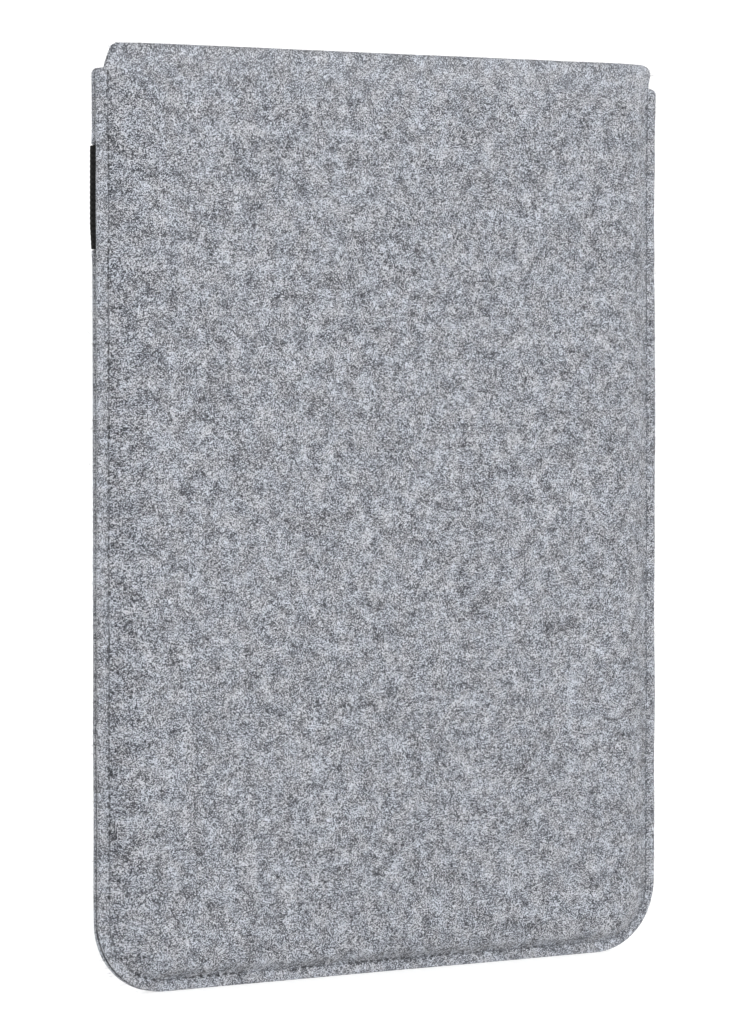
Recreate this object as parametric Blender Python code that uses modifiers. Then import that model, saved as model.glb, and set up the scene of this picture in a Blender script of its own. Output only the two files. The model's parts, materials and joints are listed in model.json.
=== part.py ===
"""Laptop sleeve in grey felt, closed and standing upright.

Two layers of felt are sewn together along both long sides and the bottom. The back
layer is cut in one with the flap, which bends over the top of the pocket and tucks
under a wide elastic strap that crosses the front.

Frame: X is the width, Y the thickness with the front at +Y, and Z is up. The origin is
the middle of the bottom edge, and Y is 0 halfway through the whole thickness.
Units are metres.
"""

import math

import bmesh
import bpy
from mathutils import Vector

# ---------------------------------------------------------------- driving dimensions

BODY_WIDTH = 0.250
SHOULDER_HEIGHT = 0.341     # where the side seams end and the pocket opens
TOTAL_HEIGHT = 0.350        # top of the folded flap
CORNER_RADIUS = 0.028       # bottom corners of both layers

FELT = 0.0025               # thickness of one layer
GAP = 0.0003                # air between pieces that touch
POCKET_RISE = 0.006         # how far each panel stands out from the seam
SIDE_SLOPE = 0.0170         # run of the sloping rim along the sides
FOOT_SLOPE = 0.0050         # run of the sloping rim along the bottom

SEAM_INSET = 0.0045         # stitch line from the cut edge
GROOVE_HALF = 0.0011        # half the width of the sewn groove at its mouth
GROOVE_FLOOR = 0.0008       # half the width of its floor
GROOVE_DEPTH = 0.0010
THREAD_RADIUS = 0.0004
THREAD_TOP = 0.339          # where the stitch lines end below the shoulders

ROOT_INSET = 0.003          # the flap leaves the body this much narrower on each side
PLATEAU_MARGIN = 0.0225     # from the cut edge to the flat middle of a panel
RIDGE_SHOULDER = 0.1185     # half the ridge's width at its widest, near the back
FLAP_HALF_WIDTH = 0.112
FLAP_BOTTOM = 0.245         # height of the flap's lower edge
FLAP_CORNER = 0.020
RIM_FLAT = 0.00001          # flat strip left between a plate's two rounded rims

STRAP = 0.0012              # thickness of the elastic
STRAP_LOW = 0.2747
STRAP_HIGH = 0.3127
STRAP_END = 0.1165          # half the distance between its two sewn ends
STRAP_STANDOFF = 0.0005     # air between the elastic and the cut edge it passes round
STRAP_TURN = 0.0008         # size of its rounded turns
STRAP_LEAD = 0.0017         # it reaches its full height this far before the flap's edge
SLOT_GAP = 0.0004           # air between the elastic and the felt it is sewn into

ARC_STEPS = 8               # straight pieces in a quarter turn
MERGE = 0.0001              # points nearer than this become one at the mirror plane

# ---------------------------------------------------------------- worked-out dimensions

HALF_WIDTH = BODY_WIDTH / 2
MARGIN_FACE = GAP / 2 + FELT                    # seam plane to a panel's outer face
PANEL_FACE = MARGIN_FACE + POCKET_RISE          # the same over the pocket
FLAP_FACE = PANEL_FACE + GAP + FELT
STRAP_FACE = FLAP_FACE + GAP + STRAP
SEAM_Y = (PANEL_FACE - STRAP_FACE) / 2          # centres the whole thickness on Y = 0

BEND_Z = TOTAL_HEIGHT - FELT / 2                # both bend axes, at mid-felt
BACK_BEND_Y = SEAM_Y - PANEL_FACE + FELT / 2
FRONT_BEND_Y = SEAM_Y + FLAP_FACE - FELT / 2
BACK_TOP = BEND_Z - FELT / 2 - GAP              # top of the back panel, under the bend
ROUND = FELT / 2 - RIM_FLAT                     # rounded rim of the flap's plates

FELT_GREY = (0.319, 0.333, 0.366)
THREAD_GREY = (0.27, 0.28, 0.31)
ELASTIC_BLACK = (0.012, 0.012, 0.014)


# ---------------------------------------------------------------- scene and materials

def clear_scene():
    """Remove every object, and the collections that held them."""
    for item in list(bpy.data.objects):
        bpy.data.objects.remove(item, do_unlink=True)
    for group in list(bpy.data.collections):
        bpy.data.collections.remove(group)


def new_collection(name):
    group = bpy.data.collections.new(name)
    bpy.context.scene.collection.children.link(group)
    return group


def make_material(name, colour, roughness):
    """A plain Principled BSDF of one colour."""
    material = bpy.data.materials.new(name)
    material.use_nodes = True
    shader = material.node_tree.nodes["Principled BSDF"]
    shader.inputs["Base Color"].default_value = (*colour, 1.0)
    shader.inputs["Roughness"].default_value = roughness
    shader.inputs["Metallic"].default_value = 0.0
    return material


def add_object(name, data, group, material=None):
    thing = bpy.data.objects.new(name, data)
    group.objects.link(thing)
    if material:
        data.materials.append(material)
    return thing


# ---------------------------------------------------------------- felt layers

def corner_arc(centre, radii, start, steps=ARC_STEPS):
    """Points of a quarter ellipse about centre, from the angle start, anticlockwise."""
    points = []
    for step in range(steps + 1):
        angle = start + math.pi / 2 * step / steps
        points.append((centre[0] + radii[0] * math.cos(angle),
                       centre[1] + radii[1] * math.sin(angle)))
    return points


def u_line(side, foot, top):
    """A layer's outline drawn in from the cut edge by side and foot.

    It runs from the top left down the side, round both bottom corners and up to the
    top right, in X and Z. The corners keep their centres, so they tighten as they
    move in.
    """
    centre_x = HALF_WIDTH - CORNER_RADIUS
    radii = (CORNER_RADIUS - side, CORNER_RADIUS - foot)
    left = corner_arc((-centre_x, CORNER_RADIUS), radii, math.pi)
    right = corner_arc((centre_x, CORNER_RADIUS), radii, 1.5 * math.pi)
    return [(side - HALF_WIDTH, top), *left, *right, (HALF_WIDTH - side, top)]


def slope_shift(run):
    """How much further in the inner face's slope lies, to keep the felt's thickness."""
    return FELT * math.tan(math.atan2(POCKET_RISE, run) / 2)


def panel_profile():
    """The cross-section of a layer's rim, from the pocket wall round to the outer face.

    Each entry is the inset along the sides, the inset along the bottom, and the height
    above the seam plane.
    """
    slope = SEAM_INSET + GROOVE_HALF
    side_shift = slope_shift(SIDE_SLOPE)
    foot_shift = slope_shift(FOOT_SLOPE)
    low = GAP / 2
    floor = MARGIN_FACE - GROOVE_DEPTH
    return [
        (slope + SIDE_SLOPE + side_shift, slope + FOOT_SLOPE + foot_shift, low + POCKET_RISE),
        (slope + side_shift, slope + foot_shift, low),
        (0.0, 0.0, low),
        (0.0, 0.0, MARGIN_FACE),
        (SEAM_INSET - GROOVE_HALF, SEAM_INSET - GROOVE_HALF, MARGIN_FACE),
        (SEAM_INSET - GROOVE_FLOOR, SEAM_INSET - GROOVE_FLOOR, floor),
        (SEAM_INSET + GROOVE_FLOOR, SEAM_INSET + GROOVE_FLOOR, floor),
        (slope, slope, MARGIN_FACE),
        (slope + SIDE_SLOPE, slope + FOOT_SLOPE, PANEL_FACE),
    ]


def felt_layer(name, facing, top, group, material):
    """One dished felt layer: its rim profile carried along the U of the outline.

    facing is +1 for the front layer and -1 for the back one.
    """
    mesh = bpy.data.meshes.new(name)
    body = bmesh.new()
    rings = []
    for side, foot, height in panel_profile():
        ring = [body.verts.new((x, SEAM_Y + facing * height, z))
                for x, z in u_line(side, foot, top)]
        rings.append(ring)
    for one, other in zip(rings, rings[1:]):
        for index in range(len(one) - 1):
            body.faces.new((one[index], one[index + 1], other[index + 1], other[index]))
    body.faces.new(rings[0])
    body.faces.new(rings[-1])
    top_rim = [ring[0] for ring in rings] + [ring[-1] for ring in reversed(rings)]
    body.faces.new(top_rim)
    bmesh.ops.recalc_face_normals(body, faces=body.faces)
    body.to_mesh(mesh)
    body.free()
    return add_object(name, mesh, group, material)


def box_cutter(name, low, high, group):
    """A wire box between two corners, for a Boolean modifier."""
    middle = (Vector(low) + Vector(high)) / 2
    size = Vector(high) - Vector(low)
    mesh = bpy.data.meshes.new(name)
    shape = bmesh.new()
    bmesh.ops.create_cube(shape, size=1.0)
    bmesh.ops.scale(shape, vec=size, verts=shape.verts)
    shape.to_mesh(mesh)
    shape.free()
    cutter = add_object(name, mesh, group)
    cutter.location = middle
    cutter.hide_render = True
    cutter.display_type = "WIRE"
    return cutter


def cut(target, cutter):
    modifier = target.modifiers.new(cutter.name, "BOOLEAN")
    modifier.operation = "DIFFERENCE"
    modifier.solver = "EXACT"
    modifier.object = cutter


# ---------------------------------------------------------------- seam threads

def seam_thread(name, facing, group, material):
    """The thread along one face's stitch line, laid in the sewn groove."""
    curve = bpy.data.curves.new(name, "CURVE")
    curve.dimensions = "3D"
    curve.bevel_depth = THREAD_RADIUS
    curve.bevel_resolution = 2
    curve.use_fill_caps = True
    line = u_line(SEAM_INSET, SEAM_INSET, THREAD_TOP)
    depth = MARGIN_FACE - GROOVE_DEPTH + GAP + THREAD_RADIUS
    spline = curve.splines.new("POLY")
    spline.points.add(len(line) - 1)
    for point, (x, z) in zip(spline.points, line):
        point.co = (x, SEAM_Y + facing * depth, z, 1.0)
    return add_object(name, curve, group, material)


# ---------------------------------------------------------------- flap

def felt_plate(name, outline, group, material):
    """A flat piece of felt with rounded rims, from its outline in its own X and Y.

    The outline is the middle line of the rounded rim, so the plate reaches half the
    felt's thickness past it.
    """
    curve = bpy.data.curves.new(name, "CURVE")
    curve.dimensions = "2D"
    curve.fill_mode = "BOTH"
    curve.extrude = FELT / 2 - ROUND
    curve.bevel_depth = ROUND
    curve.bevel_resolution = 2
    spline = curve.splines.new("POLY")
    spline.points.add(len(outline) - 1)
    for point, (x, y) in zip(spline.points, outline):
        point.co = (x, y, 0.0, 1.0)
    spline.use_cyclic_u = True
    return add_object(name, curve, group, material)


def ridge_outline():
    """The ridge seen from above, from its back bend at Y = 0 to the front bend.

    Its back edge is straight over the flat of the panel, and its ends come forward to
    follow the panel's sloping rim.
    """
    straight = HALF_WIDTH - PLATEAU_MARGIN
    front = FRONT_BEND_Y - BACK_BEND_Y - FELT - GAP
    shoulder = SEAM_Y - MARGIN_FACE - BACK_BEND_Y
    narrow = SEAM_Y - BACK_BEND_Y
    right = [
        (straight, 0.0),
        (RIDGE_SHOULDER - ROUND, shoulder),
        (FLAP_HALF_WIDTH - ROUND, narrow),
        (FLAP_HALF_WIDTH - ROUND, front),
    ]
    return right + [(-x, y) for x, y in reversed(right)]


def flap_outline():
    """The hanging part of the flap, from the front bend at Y = 0 down to its edge."""
    half = FLAP_HALF_WIDTH - ROUND
    bottom = FLAP_BOTTOM + ROUND - BEND_Z
    radius = FLAP_CORNER - ROUND
    left = corner_arc((radius - half, bottom + radius), (radius, radius), math.pi)
    right = corner_arc((half - radius, bottom + radius), (radius, radius), 1.5 * math.pi)
    return [(half, 0.0), (-half, 0.0), *left, *right]


# ---------------------------------------------------------------- elastic strap

def strap_route():
    """The strap's middle line seen from above, from the left sewn end to X = 0."""
    outside = -HALF_WIDTH - STRAP_STANDOFF - STRAP / 2
    over_flap = SEAM_Y + STRAP_FACE - STRAP / 2
    return [
        (-STRAP_END, SEAM_Y),
        (outside, SEAM_Y),
        (outside, SEAM_Y + MARGIN_FACE + STRAP / 2),
        (-FLAP_HALF_WIDTH - STRAP_LEAD, over_flap),
        (0.0, over_flap),
    ]


def elastic_strap(name, group, material):
    """A ribbon along the route, mirrored to the other side and given its thickness."""
    mesh = bpy.data.meshes.new(name)
    ribbon = bmesh.new()
    line = [ribbon.verts.new((x, y, STRAP_LOW)) for x, y in strap_route()]
    edges = [ribbon.edges.new(pair) for pair in zip(line, line[1:])]
    raised = bmesh.ops.extrude_edge_only(ribbon, edges=edges)["geom"]
    lifted = [item for item in raised if isinstance(item, bmesh.types.BMVert)]
    bmesh.ops.translate(ribbon, vec=(0.0, 0.0, STRAP_HIGH - STRAP_LOW), verts=lifted)
    ribbon.to_mesh(mesh)
    ribbon.free()
    strap = add_object(name, mesh, group, material)

    turns = strap.modifiers.new("rounded turns", "BEVEL")
    turns.width = STRAP_TURN
    turns.segments = 3
    turns.limit_method = "ANGLE"
    turns.angle_limit = math.radians(20)

    half = strap.modifiers.new("other side", "MIRROR")
    half.use_axis[0] = True
    half.merge_threshold = MERGE

    thick = strap.modifiers.new("thickness", "SOLIDIFY")
    thick.thickness = STRAP
    thick.offset = 0.0
    thick.use_even_offset = True
    return strap


# ---------------------------------------------------------------- assembly

def build():
    clear_scene()
    parts = new_collection("laptop_sleeve")
    cutters = new_collection("cutters")

    back_felt = make_material("back felt", FELT_GREY, 0.95)
    front_felt = make_material("front felt", FELT_GREY, 0.95)
    ridge_felt = make_material("ridge felt", FELT_GREY, 0.95)
    flap_felt = make_material("flap felt", FELT_GREY, 0.95)
    back_cotton = make_material("back thread", THREAD_GREY, 0.8)
    front_cotton = make_material("front thread", THREAD_GREY, 0.8)
    elastic = make_material("black elastic", ELASTIC_BLACK, 0.75)

    back = felt_layer("back_panel", -1, BACK_TOP, parts, back_felt)
    front = felt_layer("front_panel", 1, SHOULDER_HEIGHT, parts, front_felt)

    for side in (-1, 1):
        near = side * (HALF_WIDTH - ROOT_INSET)
        far = side * (HALF_WIDTH + FELT)
        shoulder = box_cutter(
            "shoulder_cut",
            (min(near, far), SEAM_Y - MARGIN_FACE - FELT, SHOULDER_HEIGHT),
            (max(near, far), SEAM_Y + FELT, TOTAL_HEIGHT),
            cutters)
        cut(back, shoulder)

        near = side * (STRAP_END - FELT)
        half_slot = STRAP / 2 + SLOT_GAP
        slot = box_cutter(
            "strap_slot",
            (min(near, far), SEAM_Y - half_slot, STRAP_LOW - GAP),
            (max(near, far), SEAM_Y + half_slot, STRAP_HIGH + GAP),
            cutters)
        cut(back, slot)
        cut(front, slot)

    seam_thread("back_seam_thread", -1, parts, back_cotton)
    seam_thread("front_seam_thread", 1, parts, front_cotton)

    ridge = felt_plate("flap_ridge", ridge_outline(), parts, ridge_felt)
    ridge.location = (0.0, BACK_BEND_Y, BEND_Z)

    flap = felt_plate("flap_panel", flap_outline(), parts, flap_felt)
    flap.location = (0.0, FRONT_BEND_Y, BEND_Z)
    flap.rotation_euler = (math.radians(90), 0.0, 0.0)

    elastic_strap("elastic_strap", parts, elastic)


build()
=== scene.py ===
# %% [markdown]
# # A grey felt laptop sleeve
# The sleeve is two layers of wool felt sewn together along both long sides and the
# bottom. The back layer is cut in one with a flap, which bends over the top of the
# pocket and tucks under a black elastic strap on the front. This file dresses a packed
# mechanical model: the model says where everything is and how the flap swings, and the
# cells below make the felt, the stitches, the elastic and the loose fibres that one sees.

# %% Load the frame
import json
import math

import bpy
import numpy as np
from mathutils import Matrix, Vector


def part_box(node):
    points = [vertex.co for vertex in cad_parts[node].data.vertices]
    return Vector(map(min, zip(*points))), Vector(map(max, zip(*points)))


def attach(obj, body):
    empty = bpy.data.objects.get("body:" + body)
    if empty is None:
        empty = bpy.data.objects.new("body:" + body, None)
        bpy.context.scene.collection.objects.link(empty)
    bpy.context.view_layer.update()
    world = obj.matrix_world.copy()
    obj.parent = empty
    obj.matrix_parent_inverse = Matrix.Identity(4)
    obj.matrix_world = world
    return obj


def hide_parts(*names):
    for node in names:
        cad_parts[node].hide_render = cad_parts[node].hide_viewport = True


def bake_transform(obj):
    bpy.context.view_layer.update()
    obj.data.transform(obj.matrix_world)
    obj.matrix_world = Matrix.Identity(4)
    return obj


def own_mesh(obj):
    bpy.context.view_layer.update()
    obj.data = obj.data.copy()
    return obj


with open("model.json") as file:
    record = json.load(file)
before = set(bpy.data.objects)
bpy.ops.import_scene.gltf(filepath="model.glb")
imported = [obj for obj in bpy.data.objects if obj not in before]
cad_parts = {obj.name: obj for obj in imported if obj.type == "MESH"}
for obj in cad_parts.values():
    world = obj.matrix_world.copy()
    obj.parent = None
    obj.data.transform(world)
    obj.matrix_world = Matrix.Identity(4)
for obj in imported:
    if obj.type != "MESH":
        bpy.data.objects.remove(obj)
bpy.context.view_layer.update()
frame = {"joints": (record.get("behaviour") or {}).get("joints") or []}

MM = 0.001

# %% [markdown]
# ## Where the camera stands
# The sleeve is seen from its back, from a little left of it and just above the middle of
# its height, with a long lens: its near and far edges are almost the same height.
# The camera is placed by turning round a point close to the sleeve's middle.

# %% Camera
CAMERA_TARGET = Vector((-0.0042, 0.0, 0.1761))
CAMERA_DISTANCE = 1.610
CAMERA_LENS = 148.2
AZIMUTH = math.radians(-31.6)
ELEVATION = math.radians(2.17)

towards_camera = Vector((
    math.sin(AZIMUTH) * math.cos(ELEVATION),
    -math.cos(AZIMUTH) * math.cos(ELEVATION),
    math.sin(ELEVATION)))
camera_data = bpy.data.cameras.new("camera")
camera_data.lens = CAMERA_LENS
camera_data.sensor_width = 36.0
camera_data.clip_start = 0.05
camera_data.clip_end = 50.0
camera = bpy.data.objects.new("camera", camera_data)
camera.location = CAMERA_TARGET + towards_camera * CAMERA_DISTANCE
camera.rotation_mode = "QUATERNION"
camera.rotation_quaternion = (-towards_camera).to_track_quat("-Z", "Y")
bpy.context.scene.collection.objects.link(camera)
bpy.context.scene.camera = camera
print("camera at", [round(c, 3) for c in camera.location])

# %% [markdown]
# ## Shader maths as Python expressions
# A felt finish needs a good deal of arithmetic on noise. Linking Math nodes by hand hides
# the idea, so a small class wraps a socket and adds a Math node whenever two values are
# added, multiplied and so on. Everything else comes from one method, `node`.


# %% Shader helper
class Shade:
    """A value in one material's node tree, with Python's operators."""

    def __init__(self, tree, socket):
        self.tree = tree
        self.socket = socket

    def math(self, operation, *others):
        made = self.tree.nodes.new("ShaderNodeMath")
        made.operation = operation
        for slot, value in zip(made.inputs, (self, *others)):
            if isinstance(value, Shade):
                self.tree.links.new(value.socket, slot)
            else:
                slot.default_value = value
        return Shade(self.tree, made.outputs[0])

    def __add__(self, other):
        return self.math("ADD", other)

    def __sub__(self, other):
        return self.math("SUBTRACT", other)

    def __rsub__(self, other):
        return self.math("MULTIPLY_ADD", -1.0, other)

    def __mul__(self, other):
        return self.math("MULTIPLY", other)

    __radd__ = __add__
    __rmul__ = __mul__


class Finish:
    """One material: a Principled shader and the nodes that feed it."""

    def __init__(self, name, roughness, sheen=0.0, specular=0.25):
        self.material = bpy.data.materials.new(name)
        self.material.use_nodes = True
        self.tree = self.material.node_tree
        self.shader = self.tree.nodes["Principled BSDF"]
        self.shader.inputs["Roughness"].default_value = roughness
        self.shader.inputs["Specular IOR Level"].default_value = specular
        self.shader.inputs["Sheen Weight"].default_value = sheen
        self.shader.inputs["Sheen Roughness"].default_value = 0.6

    def node(self, kind, output=0, settings=None, **values):
        """Add a node, set its settings, then its sockets; a value may be a link.

        A socket is named, or numbered as _0, _1 and so on.
        """
        made = self.tree.nodes.new(kind)
        for name, value in (settings or {}).items():
            setattr(made, name, value)
        for name, value in values.items():
            slot = made.inputs[int(name[1:])] if name[0] == "_" else made.inputs[name]
            if isinstance(value, Shade):
                self.tree.links.new(value.socket, slot)
            else:
                slot.default_value = value
        return Shade(self.tree, made.outputs[output])

    def attribute(self, name):
        return self.node("ShaderNodeAttribute", "Vector", {"attribute_name": name})

    def split(self, vector):
        """The three numbers of a vector."""
        made = self.node("ShaderNodeSeparateXYZ", 0, Vector=vector).socket.node
        return [Shade(self.tree, made.outputs[i]) for i in range(3)]

    def vector_math(self, operation, *values):
        values = {f"_{number}": value for number, value in enumerate(values)}
        return self.node("ShaderNodeVectorMath", 0, {"operation": operation}, **values)

    def stretch(self, vector, scale, turn):
        """The vector turned about Z and then scaled along each axis."""
        turned = self.node("ShaderNodeMapping", Vector=vector, Rotation=(0.0, 0.0, turn))
        return self.node("ShaderNodeMapping", Vector=turned, Scale=scale)

    def noise(self, vector, scale, detail=2.0, rough=0.5, output=0):
        return self.node("ShaderNodeTexNoise", output, None,
                         Vector=vector, Scale=scale, Detail=detail, Roughness=rough)

    def range(self, value, low, high, to_low=0.0, to_high=1.0, smooth=False):
        """The value's range from low to high brought to another, and held there."""
        kind = "SMOOTHSTEP" if smooth else "LINEAR"
        return self.node("ShaderNodeMapRange", 0, {"interpolation_type": kind},
                         _0=value, _1=low, _2=high, _3=to_low, _4=to_high)

    def mix(self, share, one, other, blend="MIX"):
        """A colour between one, at share 0, and other, at share 1."""
        return self.node("ShaderNodeMix", 2, {"data_type": "RGBA", "blend_type": blend},
                         _0=share, _6=one, _7=other)

    def link(self, name, value):
        self.tree.links.new(value.socket, self.shader.inputs[name])

    def bump(self, height, distance, strength=1.0):
        """Feed the Normal with a bump of that height, in metres at height 1."""
        self.link("Normal", self.node("ShaderNodeBump", Strength=strength,
                                      Distance=distance, Height=height))


def grey(value, tint=(1.0, 1.0, 1.0)):
    return (*[value * t for t in tint], 1.0)


print("shader helper ready")

# %% [markdown]
# ## Measures
# Every size comes from the frame: the boxes of the felt layers, the flap and the strap,
# and the two lines that the flap bends about. Only what the frame doesn't hold, such as
# how tightly felt bends, is a number here.

# %% Measures from the frame
_, back_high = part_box("back_panel")
front_low, front_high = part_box("front_panel")
flap_low, flap_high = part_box("flap_panel")
ridge_low, ridge_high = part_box("flap_ridge")
strap_low, strap_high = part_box("elastic_strap")
thread_low, thread_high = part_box("back_seam_thread")
hinges = {joint["name"]: joint["pos_m"] for joint in frame["joints"]}

HALF = back_high.x
SEAM_Y = (back_high.y + front_low.y) / 2
FELT = ridge_high.z - ridge_low.z
AIR = front_low.y - SEAM_Y          # between the seam plane and either layer
MARGIN = AIR + FELT                 # seam plane to a layer's outer face at its rim
RISE = front_high.y - SEAM_Y - MARGIN
SHOULDER_Z = front_high.z
STITCH_TOP = thread_high.z
THREAD_HALF = (thread_high.y - thread_low.y) / 2
STITCH_INSET = HALF - thread_high.x + THREAD_HALF
BACK_BEND_Y = hinges["ridge_bend"][1]
FRONT_BEND_Y = hinges["flap_bend"][1]
BEND_Z = hinges["flap_bend"][2]
FLAP_HALF = flap_high.x

CORNER = 26.5 * MM          # bottom corners
BACK_CORNER = 27.7 * MM     # the back layer's are trimmed a little rounder
SHOULDER_ROUND = 2.4 * MM   # rounding of the body's top corners
ROOT_HALF = HALF - 3.5 * MM  # half the width of the flap's root
ROOT_RUN = 8.8 * MM         # length of the root from the shoulder over the back bend
ROOT_SLANT = 0.9 * MM       # how far it slants in over that length
ROOT_NOTCH = 2.5 * MM       # and how far it turns in at the end of it
FLAP_SHIFT = 1.0 * MM       # the flap isn't folded quite straight, and lies to the right
SIDE_RUN = 17 * MM          # the panel rises from the side seams over this far
FOOT_RUN = 5.5 * MM         # and from the bottom seam over this far
BEND_RADIUS = 2.4 * MM      # of the felt's middle, at both bends
FLAP_CORNER = 20 * MM       # corners of the flap's free end
print("half width", round(HALF, 4), "felt", round(FELT, 4), "rise", round(RISE, 4),
      "stitch inset", round(STITCH_INSET, 4))

# %% [markdown]
# ## Curves of the cut
# Each felt layer starts flat. Across the cloth the position is `x`, and along it, from
# the bottom edge up, it is `s`. A few functions give the cut's outline, how far a place
# is from the edge, and how long the seam is up to there.


# %% Curves
def smooth(t):
    """3t^2 - 2t^3 between 0 and 1."""
    t = np.clip(t, 0.0, 1.0)
    return t * t * (3 - 2 * t)


def quarter_round(gap, radius):
    """How far a rounded corner pulls in at a place that is gap from its end.

    That is the radius less the leg of a right triangle inside the corner's circle.
    """
    reach = np.clip(radius - gap, 0.0, radius)
    return radius - np.sqrt(radius ** 2 - reach ** 2)


def ripple(x, s, seed, wavelength, count=14):
    """A gentle unevenness of about -1 to 1: a sum of sines in many set directions."""
    rng = np.random.default_rng(seed)
    total = np.zeros(np.broadcast(x, s).shape)
    for _ in range(count):
        turn, phase = rng.uniform(0, 2 * np.pi, 2)
        wave = 2 * np.pi / (wavelength * rng.uniform(0.6, 1.7))
        total += np.sin(wave * (x * np.cos(turn) + s * np.sin(turn)) + phase)
    return total / np.sqrt(count)


def body_half_width(s):
    """Half the body's width at height s, less its rounded bottom corners and shoulders."""
    below_shoulder = np.clip(SHOULDER_Z - s, 0.0, None)
    return HALF - quarter_round(s, CORNER) - quarter_round(below_shoulder, SHOULDER_ROUND)


def root_taper(rise):
    """How far the flap's root has narrowed at that length above the shoulder.

    A steady slant and a power of the rise take it up to the top of the back bend, and
    the rest goes on the way across the ridge.
    """
    t = np.clip(rise / ROOT_RUN, 0, 1)
    rest = ROOT_HALF - FLAP_HALF - ROOT_SLANT - ROOT_NOTCH
    return ROOT_SLANT * t + ROOT_NOTCH * t ** 9 + rest * smooth((rise - ROOT_RUN) / (10 * MM))


def back_cut_half_width(s, end):
    """Half the width of the back cut: the body, the root, then the flap."""
    rise = np.clip(s - SHOULDER_Z, 0, None)
    flap = ROOT_HALF - root_taper(rise) - quarter_round(end - s, FLAP_CORNER)
    trim = quarter_round(s, BACK_CORNER) - quarter_round(s, CORNER)
    return np.where(s <= SHOULDER_Z, body_half_width(s) - trim, flap)


def seam_inset(x, z):
    """Distance in from the body's outline, and how side-like that place is, 1 to 0.

    In a bottom corner the distance is radial, and the share turns with the angle.
    """
    beside = np.abs(x) - (HALF - CORNER)
    below = CORNER - z
    radial = np.hypot(np.clip(beside, 0, None), np.clip(below, 0, None))
    corner = (beside > 0) & (below > 0)
    inset = np.where(corner, CORNER - radial, np.where(below > 0, z, HALF - np.abs(x)))
    share = np.where(corner, (beside / np.maximum(radial, 1e-9)) ** 2,
                     np.where(below > 0, 0.0, 1.0))
    return inset, share


SEAM_ARC = (CORNER - STITCH_INSET) * np.pi / 2
SEAM_SIDE = STITCH_TOP - CORNER
SEAM_WHOLE = 2 * (SEAM_SIDE + SEAM_ARC + HALF - CORNER)


def seam_length(x, z):
    """Length along the stitch line from its left top end to the point nearest (x, z)."""
    beside = np.abs(x) - (HALF - CORNER)
    below = CORNER - z
    angle = np.arctan2(np.clip(below, 0, None), np.clip(beside, 1e-9, None))
    half = STITCH_TOP - np.maximum(z, CORNER) + SEAM_ARC * angle / (np.pi / 2)
    half = half + np.clip(-beside, 0, None) * (below > 0)
    return np.where(x < 0, half, SEAM_WHOLE - half)


def seam_place(length):
    """The place (x, z) on the stitch line at that length: the same path, the other way."""
    half = np.minimum(length, SEAM_WHOLE - length)
    side = np.minimum(half, SEAM_SIDE)
    angle = np.clip((half - SEAM_SIDE) / SEAM_ARC, 0, 1) * np.pi / 2
    along = np.clip(half - SEAM_SIDE - SEAM_ARC, 0, None)
    radius = CORNER - STITCH_INSET
    x = HALF - CORNER + radius * np.cos(angle) - along
    z = STITCH_TOP - side - radius * np.sin(angle)
    return np.where(length < SEAM_WHOLE / 2, -x, x), z


print("stitch line", round(SEAM_WHOLE, 3), "m long")

# %% [markdown]
# ## Relief of a layer
# The height of a layer's outer face above the seam plane is the sum of a few simple
# shapes: a rim, a pillow that rises steeply from the stitches and levels out, a groove
# where the thread pulls the felt down, a slow sway of the rim and soft lumps. Where the
# strap comes out between the layers, it pushes them apart, and it draws the right edge in.

# %% Relief
GROOVE_DEPTH = 0.70 * MM    # along the bottom, where the thread is tight
SIDE_GROOVE = 0.38 * MM     # along the two sides
GROOVE_WIDTH = 0.95 * MM    # half the width of its bell
SEAM_FLAT = 0.4 * MM        # the panel starts to rise this far inside the stitch line
RISE_EASE = 0.9 * MM        # and its rise is eased in over about this much
RISE_POWER = 2.1            # how steeply it rises at first
TIGHT_WAVE = 24 * MM
SLACK_FROM = 0.54           # share of the seam after which the thread lies slacker
STRAP_THICK = 1.2 * MM
STRAP_PART = STRAP_THICK / 2 - AIR + 0.05 * MM
PART_FADE = 6 * MM          # above and below the strap
WAIST = 1.2 * MM            # how far the strap draws the right edge in
WAIST_REACH = 30 * MM       # up and down from the strap's middle
WAIST_FADE = 14 * MM        # inwards from the edge
SWAY = 0.22 * MM


def panel_rise(x, z):
    """Height of a panel's outer face above the seam plane, groove left out.

    It leaves the seam steeply and levels out over the pocket, as 1 - (1 - t)^n, with its
    start eased in as t^2 / (t + e).
    """
    inset, share = seam_inset(x, z)
    run = FOOT_RUN + (SIDE_RUN - FOOT_RUN) * share
    t = np.clip((inset - STITCH_INSET - SEAM_FLAT) / run, 0.0, 1.0)
    ease = RISE_EASE / run
    t = t * t / (t + ease) * (1 + ease)
    return MARGIN + RISE * (1 - (1 - t) ** RISE_POWER)


def tightness(length):
    """How tightly the thread is drawn there, 0 to 1: waves along the seam.

    The seam is sewn from its left top end, and lies slacker past its second corner.
    """
    waves = 0.2 + 0.8 * smooth(0.55 + 0.55 * ripple(length, 0 * length, 8, TIGHT_WAVE, 8))
    return waves * (1 - 0.80 * smooth((length / SEAM_WHOLE - SLACK_FROM) / 0.10))


def groove(x, z):
    """Depth of the sewn groove: a bell across the stitch line, gone above its ends.

    It is deepest where the thread is tight.
    """
    inset, share = seam_inset(x, z)
    depth = GROOVE_DEPTH + (SIDE_GROOVE - GROOVE_DEPTH) * share
    depth = depth * (0.2 + 0.8 * tightness(seam_length(x, z)))
    across = np.exp(-((inset - STITCH_INSET) / GROOVE_WIDTH) ** 2)
    return depth * across * smooth((STITCH_TOP + 1 * MM - z) / (3 * MM))


def strap_window(z, below, above):
    """1 beside the strap, fading to 0 over those distances below and above it."""
    return smooth((z - strap_low.z + below) / below) * smooth((strap_high.z + above - z) / above)


def sway(x, z):
    """How far the sewn rim sways out of its plane; both layers share it."""
    return SWAY * ripple(x, z, 21, 70 * MM, 8)


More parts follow.
